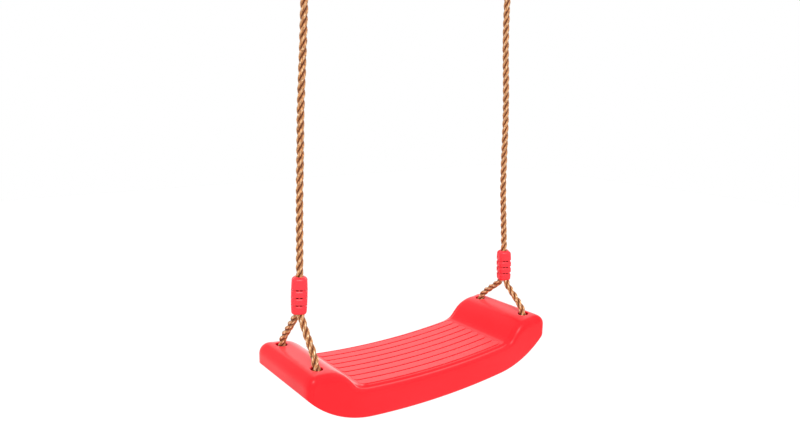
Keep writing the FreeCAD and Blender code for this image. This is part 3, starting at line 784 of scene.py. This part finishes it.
def bar_outline(out, half_wide):
    """A slot-shaped outline, out from the bar's own, from one rounded tip round to the other."""
    radius = half_wide + out
    reach = BAR_HALF - half_wide
    ring = []
    for side in (1, -1):
        for turn in np.linspace(-RIGHT_ANGLE, RIGHT_ANGLE, 13):
            ring.append((side * (reach + radius * math.cos(turn)), side * radius * math.sin(turn)))
        if side == 1:
            ring += [(x, radius) for x in np.linspace(reach, -reach, 42)[1:-1]]
        else:
            ring += [(x, -radius) for x in np.linspace(-reach, reach, 42)[1:-1]]
    return ring


def sitting_bars():
    half_wide = (BAR_PITCH - BAR_GAP) / 2
    faces = []
    for index in range(BAR_COUNT):
        middle = (index - (BAR_COUNT - 1) / 2) * BAR_PITCH
        rows = []
        for out, share in BAR_SECTION:
            rows.append(
                [
                    in_row(x, y + middle, top_height(x) + share * BAR_RISE)
                    for x, y in bar_outline(out, half_wide)
                ]
            )
        tops = [x for x, _ in bar_outline(-half_wide, half_wide)]
        spine = [in_row(x, middle, top_height(x) + BAR_RISE) for x in tops]
        faces += flipped(grid([spine] + rows, closed=True))
    return mesh_object("sitting_bars", faces)


def seat_board():
    shell = seat_shell()
    carve(shell, hole_tool())
    board = join("seat_moulding", [shell, underside(), sitting_bars()])
    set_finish(board, "seat_plastic")
    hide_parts("seat_board")
    finish_mesh(board)
    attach(board, "seat")


seat_board()

# ---------------------------------------------------------------- sleeves
SLEEVE_HALF_WIDE = 0.0110
SLEEVE_HALF_DEEP = 0.0115
SLEEVE_BORE = 0.0051
SLEEVE_MOUTH = 0.0093
SLEEVE_FLARE = 0.009
SLEEVE_SQUARENESS = 3.2
SLEEVE_BARREL = 0.085
SLEEVE_GAP = 0.00012
SLEEVE_TURN = math.radians(-28)
MOUTH_ROUNDING = 0.0030
SHOULDER_ROUNDING = 0.0052
COLLAR_RADIUS = 0.0070
WINDOW_HALF_WIDE = 0.0017
WINDOW_HALF_HIGH = 0.0006
WINDOW_PITCH = 0.0102
WINDOW_LEVEL = 0.0225
WINDOW_OFFSET = 0.0026
LOUVRE_DEPTH = 0.0014
LOUVRE_ABOVE = (0.0010, 0.0016)
LOUVRE_BELOW = (0.0004, 0.0034)
LATCH_RISE = 0.0013
LATCH_LEVEL = 0.0014
LATCH_FADE = (0.0024, 0.0034)
JOINT_RECESS = 0.0014
JOINT_FADE = (0.16, 0.24)
BARREL_POWER = 2.2
SHOULDER_TURN = math.radians(74)
SHOULDER_SQUASH = 0.9
# From the shoulder in to the collar: shares of the way, and the rise that they start with
COLLAR_SHARES = (0.4, 0.75, 1.0)
COLLAR_START = 0.55
# The collar's inner edge: (out from the bore, down from the top)
COLLAR_LIP = [(0.0006, 0.0), (0.0001, 0.0004)]
BORE_TOP = 0.001
MOUTH_SHARES = (0.33, 0.66, 0.88)
MULLION_HALF = 0.0002
HALVES = {"front": -1, "back": 1}


def louvre(off):
    """A row's recess, off metres above the row: an overhang, then a ledge that slopes back out."""
    start, stop = LOUVRE_ABOVE if off > 0 else LOUVRE_BELOW
    return 1 - smooth_step(abs(off), start, stop)


def sleeve_radius(turn, height):
    """The sleeve's outside: squarish, barrelled, recessed at each row, latched at the joint."""
    across = abs(math.cos(turn) / SLEEVE_HALF_WIDE) ** SLEEVE_SQUARENESS
    deep = abs(math.sin(turn) / SLEEVE_HALF_DEEP) ** SLEEVE_SQUARENESS
    radius = (across + deep) ** (-1 / SLEEVE_SQUARENESS)
    middle = height - SLEEVE_TALL / 2
    radius *= 1 - SLEEVE_BARREL * abs(middle / (SLEEVE_TALL / 2)) ** BARREL_POWER
    at_joint = 1 - smooth_step(abs(math.sin(turn)), *JOINT_FADE)
    radius -= JOINT_RECESS * at_joint
    for row in (-1, 0, 1):
        off = height - WINDOW_LEVEL - row * WINDOW_PITCH
        radius -= LOUVRE_DEPTH * louvre(off) * (1 - at_joint)
        latch = 1 - smooth_step(abs(off - LATCH_LEVEL), *LATCH_FADE)
        radius += LATCH_RISE * latch * at_joint
    return radius


def sleeve_levels():
    """Heights of the outside's rows, with how far each is drawn in towards the mouth or collar."""
    rows = []
    for turn in np.linspace(0, RIGHT_ANGLE, 9):
        rows.append((MOUTH_ROUNDING * (1 - math.cos(turn)), MOUTH_ROUNDING * (1 - math.sin(turn))))
    shoulder = SLEEVE_TALL - SHOULDER_ROUNDING
    rows += [(z, 0.0) for z in np.linspace(MOUTH_ROUNDING, shoulder, 110)[1:-1]]
    for turn in np.linspace(0, SHOULDER_TURN, 10):
        rise = SHOULDER_ROUNDING * SHOULDER_SQUASH * math.sin(turn)
        rows.append((shoulder + rise, SHOULDER_ROUNDING * (1 - math.cos(turn))))
    return rows


def sleeve_half(name, face):
    """One half shell on its own base, its mouth at the bottom: face -1 is the windowed one."""
    turns = np.linspace(0, math.pi, 65) * face
    if face < 0:
        turns = turns[::-1]
    levels = sleeve_levels()

    def lifted(radius, turn, height):
        y = radius * math.sin(turn)
        return (radius * math.cos(turn), y + face * SLEEVE_GAP, height)

    outside = []
    for height, drawn in levels:
        outside.append([lifted(sleeve_radius(t, height) - drawn, t, height) for t in turns])
    height, drawn = levels[-1]
    for share in COLLAR_SHARES:
        rise = (SLEEVE_TALL - height) * (COLLAR_START + (1 - COLLAR_START) * share)
        ring = []
        for t in turns:
            edge = sleeve_radius(t, height) - drawn
            ring.append(lifted(edge + (COLLAR_RADIUS - edge) * share, t, height + rise))
        outside.append(ring)
    for out, down in COLLAR_LIP:
        outside.append([lifted(SLEEVE_BORE + out, t, SLEEVE_TALL - down) for t in turns])
    inside = []
    for height in np.linspace(SLEEVE_TALL - BORE_TOP, SLEEVE_FLARE, 22):
        inside.append([lifted(SLEEVE_BORE, t, height) for t in turns])
    for share in MOUTH_SHARES:
        radius = SLEEVE_BORE + (SLEEVE_MOUTH - SLEEVE_BORE) * share
        inside.append([lifted(radius, t, SLEEVE_FLARE * (1 - share)) for t in turns])
    faces = grid(outside + inside + outside[:1])
    # the two flat faces where the halves meet, laid in strips from the bore to the outside
    for edge in (0, -1):
        outer_line = [row[edge] for row in outside[: -len(COLLAR_LIP)]]
        inner_line = [row[edge] for row in reversed(outside[-len(COLLAR_LIP) :] + inside)]
        strip = zip_lines(outer_line, inner_line)
        faces += strip if edge == 0 else flipped(strip)
    return mesh_object(name, faces)


def zip_lines(outer, inner):
    """Faces that fill the strip between two lines with different numbers of points."""
    faces = []
    i = j = 0
    while i < len(outer) - 1 or j < len(inner) - 1:
        take_outer = j == len(inner) - 1 or (
            i < len(outer) - 1 and (i + 1) / (len(outer) - 1) <= (j + 1) / (len(inner) - 1)
        )
        if take_outer:
            faces.append((outer[i], outer[i + 1], inner[j], inner[j]))
            i += 1
        else:
            faces.append((outer[i], inner[j + 1], inner[j], inner[j]))
            j += 1
    return faces


# How far the window cutters stand off the sleeve's middle, and their flare there
WINDOW_RINGS = [(-0.0150, 0.0020), (-0.0110, 0.0003), (-0.0100, 0.0), (-0.0050, -0.0001)]


def window_tool():
    """Cutters for the six latch windows, flared at the outside."""
    faces = []
    for row in (-1, 0, 1):
        level = WINDOW_LEVEL + row * WINDOW_PITCH
        for column in (-1, 1):
            x = column * WINDOW_OFFSET
            rings = []
            for y, flare in WINDOW_RINGS:
                wide = min(WINDOW_HALF_WIDE + flare, WINDOW_OFFSET - MULLION_HALF)
                high = WINDOW_HALF_HIGH + flare
                rings.append(
                    [
                        (x - wide, y, level - high),
                        (x + wide, y, level - high),
                        (x + wide, y, level + high),
                        (x - wide, y, level + high),
                    ]
                )
            faces += flipped(grid(rings, closed=True))
            faces += [tuple(rings[0]), tuple(reversed(rings[-1]))]
    return mesh_object("window_tool", faces)


def sleeves(side):
    lean = lean_of(side)[0]
    foot = Matrix.Translation((0, 0, -SLEEVE_TALL))
    lower = lean @ foot @ Matrix.Rotation(SLEEVE_TURN, 4, "Z")
    flip = Matrix.Translation((0, 0, SLEEVE_TALL)) @ Matrix.Rotation(math.pi, 4, "Y")
    upper = lean @ Matrix.Translation((0, 0, upper_sleeve(side))) @ flip
    placed = [("lower", lower, f"{side}_sleeve"), ("upper", upper, f"{side}_rope")]
    for level, place, body in placed:
        for word, face in HALVES.items():
            node = f"{side}_{level}_sleeve_{word}"
            half = sleeve_half(node + "_half", face)
            bpy.context.view_layer.update()
            if face < 0:
                carve(half, window_tool())
            half.data.transform(place)
            finish_mesh(half)
            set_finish(half, "sleeve_plastic")
            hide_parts(node)
            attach(half, body)


for side in SIDES:
    sleeves(side)


# ---------------------------------------------------------------- materials
def new_material(name, **settings):
    """A material with its shader's plain values, and the shader."""
    material = bpy.data.materials.new(name)
    material.use_nodes = True
    shader = material.node_tree.nodes["Principled BSDF"]
    for key, setting in settings.items():
        shader.inputs[key.replace("_", " ")].default_value = setting
    return material, shader


def add_node(tree, kind, settings=None, links=None):
    """A node with its properties and inputs set; an input may be another node's output."""
    made = tree.nodes.new(kind)
    for key, setting in (settings or {}).items():
        setattr(made, key, setting)
    for key, source in (links or {}).items():
        if isinstance(source, bpy.types.NodeSocket):
            tree.links.new(source, made.inputs[key])
        else:
            made.inputs[key].default_value = source
    return made


def noise(tree, place, scale, detail=3.0, stretch=(1, 1, 1)):
    turned_place = add_node(tree, "ShaderNodeMapping", None, {"Vector": place, "Scale": stretch})
    made = add_node(
        tree,
        "ShaderNodeTexNoise",
        None,
        {"Vector": turned_place.outputs["Vector"], "Scale": scale, "Detail": detail},
    )
    return made.outputs["Fac"]


def remap(tree, source, low, high, to_low, to_high):
    made = add_node(
        tree,
        "ShaderNodeMapRange",
        None,
        {"Value": source, "From Min": low, "From Max": high, "To Min": to_low, "To Max": to_high},
    )
    return made.outputs["Result"]


def ramp(tree, source, stops):
    made = add_node(tree, "ShaderNodeValToRGB", None, {"Fac": source})
    while len(made.color_ramp.elements) < len(stops):
        made.color_ramp.elements.new(0.5)
    for element, (place, colour) in zip(made.color_ramp.elements, stops):
        element.position = place
        element.color = (*colour, 1)
    return made.outputs["Color"]


def blend_colours(tree, share, first, second, kind="MIX"):
    made = add_node(tree, "ShaderNodeMix", {"data_type": "RGBA", "blend_type": kind})
    for index, source in ((0, share), (6, first), (7, second)):
        if isinstance(source, bpy.types.NodeSocket):
            tree.links.new(source, made.inputs[index])
        else:
            made.inputs[index].default_value = source
    return made.outputs[2]


def bump(tree, height, distance, strength=1.0, before=None):
    links = {"Height": height, "Distance": distance, "Strength": strength}
    if before is not None:
        links["Normal"] = before
    return add_node(tree, "ShaderNodeBump", None, links).outputs["Normal"]


def crevices(tree, distance, low, high):
    """1 in the open, down to 0 deep in a groove or a hole: the mask for painted shade there."""
    made = add_node(
        tree,
        "ShaderNodeAmbientOcclusion",
        {"samples": 8, "only_local": True},
        {"Distance": distance},
    )
    return remap(tree, made.outputs["AO"], low, high, 0, 1)


def toned(colour, scale, added=0.0):
    return tuple(min(1, channel * scale + added) for channel in colour)


def moulded_plastic(name, colour, roughness, grain, top_sheen):
    """Moulded plastic: fine grain, slow colour variation, scuffs, painted sheen on top, painted
    highlight at grazing and painted shade in grooves.
    """
    material, shader = new_material(name, IOR=1.49, Specular_IOR_Level=SHEEN_LEVEL)
    tree = material.node_tree
    coordinates = add_node(tree, "ShaderNodeTexCoord")
    place = coordinates.outputs["Object"]
    cloud = noise(tree, place, 9, 2)
    fine = noise(tree, place, 1400, 2)
    scuff = noise(tree, place, 70, 6, (1, 5, 1))
    shades = [(0, toned(colour, 0.88)), (1, toned(colour, 1.04, 0.003))]
    base = ramp(tree, remap(tree, cloud, 0.35, 0.65, 0, 1), shades)
    # painted sheen: surfaces that face up are paled towards a lighter colour, as if lit from above
    facing_up = add_node(
        tree, "ShaderNodeSeparateXYZ", None, {"Vector": coordinates.outputs["Normal"]}
    ).outputs["Z"]
    top_sheen_colour = (*toned(colour, 1, top_sheen), 1)
    base = blend_colours(tree, remap(tree, facing_up, 0.91, 1.0, 0, 1), base, top_sheen_colour)
    # painted highlight: at grazing angles the colour is paled towards pink, standing in for
    # reflection
    grazing = add_node(tree, "ShaderNodeLayerWeight", None, {"Blend": 0.5}).outputs["Facing"]
    grazing_sheen = remap(tree, grazing, 0.72, 1.0, 0, 0.75)
    base = blend_colours(tree, grazing_sheen, base, (0.95, 0.62, 0.62, 1))
    worn = ramp(tree, scuff, [(0.66, (0, 0, 0)), (0.82, (0.06, 0.06, 0.06))])
    base = blend_colours(tree, worn, base, (*toned(colour, 0.8, 0.12), 1))
    # painted shade: grooves, holes and windows are darkened where the occlusion mask is low
    shadow = (*toned(colour, 0.50), 1)
    base = blend_colours(tree, crevices(tree, 0.004, 0.40, 0.92), shadow, base)
    tree.links.new(base, shader.inputs["Base Color"])
    rough = remap(tree, scuff, 0.3, 0.75, roughness - 0.015, roughness + 0.04)
    tree.links.new(rough, shader.inputs["Roughness"])
    soft = bump(tree, cloud, 0.0004, 0.6)
    tree.links.new(bump(tree, fine, grain, 0.5, soft), shader.inputs["Normal"])
    return material


# The rope's colour from the gap between the strands to their crests, painted shade in the gaps up
# to a painted highlight on the crests, then what the fibres, the patches and the painted shade in
# the gaps multiply it by
ROPE_SHADE_TO_HIGHLIGHT = [
    (0.0, (0.085, 0.022, 0.006)),
    (0.26, (0.30, 0.088, 0.023)),
    (0.55, (0.52, 0.220, 0.078)),
    (0.78, (0.70, 0.380, 0.170)),
    (0.97, (1.00, 0.76, 0.50)),
]
ROPE_FIBRES = [(0.32, (0.50, 0.43, 0.38)), (0.50, (0.95, 0.95, 0.95)), (0.70, (1.35, 1.35, 1.30))]
ROPE_PATCHES = [(0.36, (0.50, 0.43, 0.37)), (0.50, (0.95, 0.93, 0.90)), (0.64, (1.40, 1.40, 1.36))]
ROPE_GAP_SHADE = (0.40, 0.30, 0.24, 1)


def rope_fibre():
    """Twisted polypropylene rope: fibres along each yarn, painted shade between the strands and a
    painted highlight on their crests.
    """
    material, shader = new_material("rope_fibre", IOR=1.46)
    tree = material.node_tree
    strand = add_node(tree, "ShaderNodeUVMap", {"uv_map": "strand"}).outputs["UV"]
    crest = add_node(tree, "ShaderNodeAttribute", {"attribute_name": "crest"}).outputs["Fac"]
    fibre = noise(tree, strand, 1, 3, (5200, 190, 1))
    hair = noise(tree, strand, 1, 2, (16000, 420, 1))
    patch = noise(tree, strand, 1, 2, (900, 260, 1))
    base = ramp(tree, crest, ROPE_SHADE_TO_HIGHLIGHT)
    base = blend_colours(tree, 1.0, base, ramp(tree, fibre, ROPE_FIBRES), "MULTIPLY")
    base = blend_colours(tree, 1.0, base, ramp(tree, patch, ROPE_PATCHES), "MULTIPLY")
    # painted shade: the gaps between the strands darken where the occlusion mask is low
    open_air = crevices(tree, 0.003, 0.25, 0.85)
    gap_shade = blend_colours(tree, open_air, ROPE_GAP_SHADE, (1, 1, 1, 1))
    base = blend_colours(tree, 1.0, base, gap_shade, "MULTIPLY")
    tree.links.new(base, shader.inputs["Base Color"])
    tree.links.new(remap(tree, fibre, 0.3, 0.7, 0.62, 0.42), shader.inputs["Roughness"])
    rough = bump(tree, fibre, 0.00028, 0.9)
    tree.links.new(bump(tree, hair, 0.00012, 0.6, rough), shader.inputs["Normal"])
    return material


def coated_steel(name, dark, light, roughness, spangle):
    """Galvanised or plated steel: a patchy grey, finely pitted."""
    material, shader = new_material(name, Metallic=1.0)
    tree = material.node_tree
    place = add_node(tree, "ShaderNodeTexCoord").outputs["Object"]
    crystals = add_node(tree, "ShaderNodeTexVoronoi", None, {"Vector": place, "Scale": spangle})
    cloud = noise(tree, place, 60, 5)
    fine = noise(tree, place, 1800, 3)
    links = {"Color": crystals.outputs["Color"]}
    flake = add_node(tree, "ShaderNodeSeparateColor", None, links).outputs["Red"]
    base = ramp(tree, flake, [(0, dark), (1, light)])
    stain = ramp(tree, cloud, [(0.35, (0.72, 0.71, 0.69)), (0.65, (1.0, 1.0, 1.0))])
    tree.links.new(blend_colours(tree, 1.0, base, stain, "MULTIPLY"), shader.inputs["Base Color"])
    rough = remap(tree, cloud, 0.3, 0.7, roughness + 0.12, roughness - 0.06)
    tree.links.new(rough, shader.inputs["Roughness"])
    soft = bump(tree, cloud, 0.0003, 0.5)
    tree.links.new(bump(tree, fine, 0.00004, 0.7, soft), shader.inputs["Normal"])
    return material


SHEEN_LEVEL = 0.21
RED = (0.90, 0.009, 0.017)
SLEEVE_RED = (0.90, 0.034, 0.048)
NYLON = (0.045, 0.047, 0.05)
# each plastic's last number is how strongly its upward faces are paled by painted sheen
LOOKS = {
    "seat_plastic": moulded_plastic("seat_red_plastic", RED, 0.29, 0.00004, 0.055),
    "sleeve_plastic": moulded_plastic("sleeve_red_plastic", SLEEVE_RED, 0.24, 0.00002, 0.03),
    "rope": rope_fibre(),
    "bush_plastic": moulded_plastic("bush_nylon", NYLON, 0.42, 0.00003, 0.0),
}
# Each steel's name, its darkest and lightest grey, its roughness and its pattern's scale
STEELS = {
    "link_steel": ("forged_link_steel", (0.42, 0.43, 0.44), (0.62, 0.63, 0.64), 0.42, 260),
    "bracket_steel": ("galvanised_plate", (0.50, 0.51, 0.52), (0.72, 0.73, 0.74), 0.44, 170),
    "thimble_steel": ("galvanised_thimble", (0.50, 0.51, 0.52), (0.70, 0.71, 0.72), 0.36, 420),
    "fastener_steel": ("plated_fastener", (0.62, 0.61, 0.57), (0.76, 0.75, 0.70), 0.26, 900),
}
for slot, settings in STEELS.items():
    LOOKS[slot] = coated_steel(*settings)


# ---------------------------------------------------------------- studio
FLOOR_DROP = 1.9
FLOOR_LEVEL = HOLE_LEVEL - FLOOR_DROP
FLOOR_REACH = 14.0
SUN_TURN = (math.radians(34), 0, math.radians(-24))
SUN_STRENGTH = 1.45
SUN_SIZE = math.radians(22)


def studio():
    corners = [(-FLOOR_REACH, -FLOOR_REACH), (FLOOR_REACH, -FLOOR_REACH)]
    corners += [(FLOOR_REACH, FLOOR_REACH), (-FLOOR_REACH, FLOOR_REACH)]
    floor = mesh_object("floor", [[(x, y, FLOOR_LEVEL) for x, y in corners]])
    paint, shader = new_material("floor_paint", Roughness=0.7)
    tree = paint.node_tree
    place = add_node(tree, "ShaderNodeTexCoord").outputs["Object"]
    shades = [(0, (0.78, 0.78, 0.78)), (1, (0.81, 0.81, 0.81))]
    tree.links.new(ramp(tree, noise(tree, place, 3), shades), shader.inputs["Base Color"])
    floor.data.materials.append(paint)
    world = bpy.data.worlds.new("studio")
    world.use_nodes = True
    world.node_tree.nodes["Background"].inputs["Color"].default_value = (1, 1, 1, 1)
    world.node_tree.nodes["Background"].inputs["Strength"].default_value = 1.0
    bpy.context.scene.world = world
    bpy.context.scene.view_settings.view_transform = "Standard"


def add_sun(turn, strength, angle):
    data = bpy.data.lights.new("sun", "SUN")
    data.energy = strength
    data.angle = angle
    sun = bpy.data.objects.new("sun", data)
    sun.rotation_euler = turn
    bpy.context.scene.collection.objects.link(sun)


studio()
add_sun(SUN_TURN, SUN_STRENGTH, SUN_SIZE)

node_slots = {part["node"]: part["material_slot"] for part in frame["record"]["subparts"]}
for piece in bpy.data.objects:
    slot_name = piece.get("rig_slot") or node_slots.get(piece.name)
    if slot_name in LOOKS:
        piece.data.materials.clear()
        piece.data.materials.append(LOOKS[slot_name])
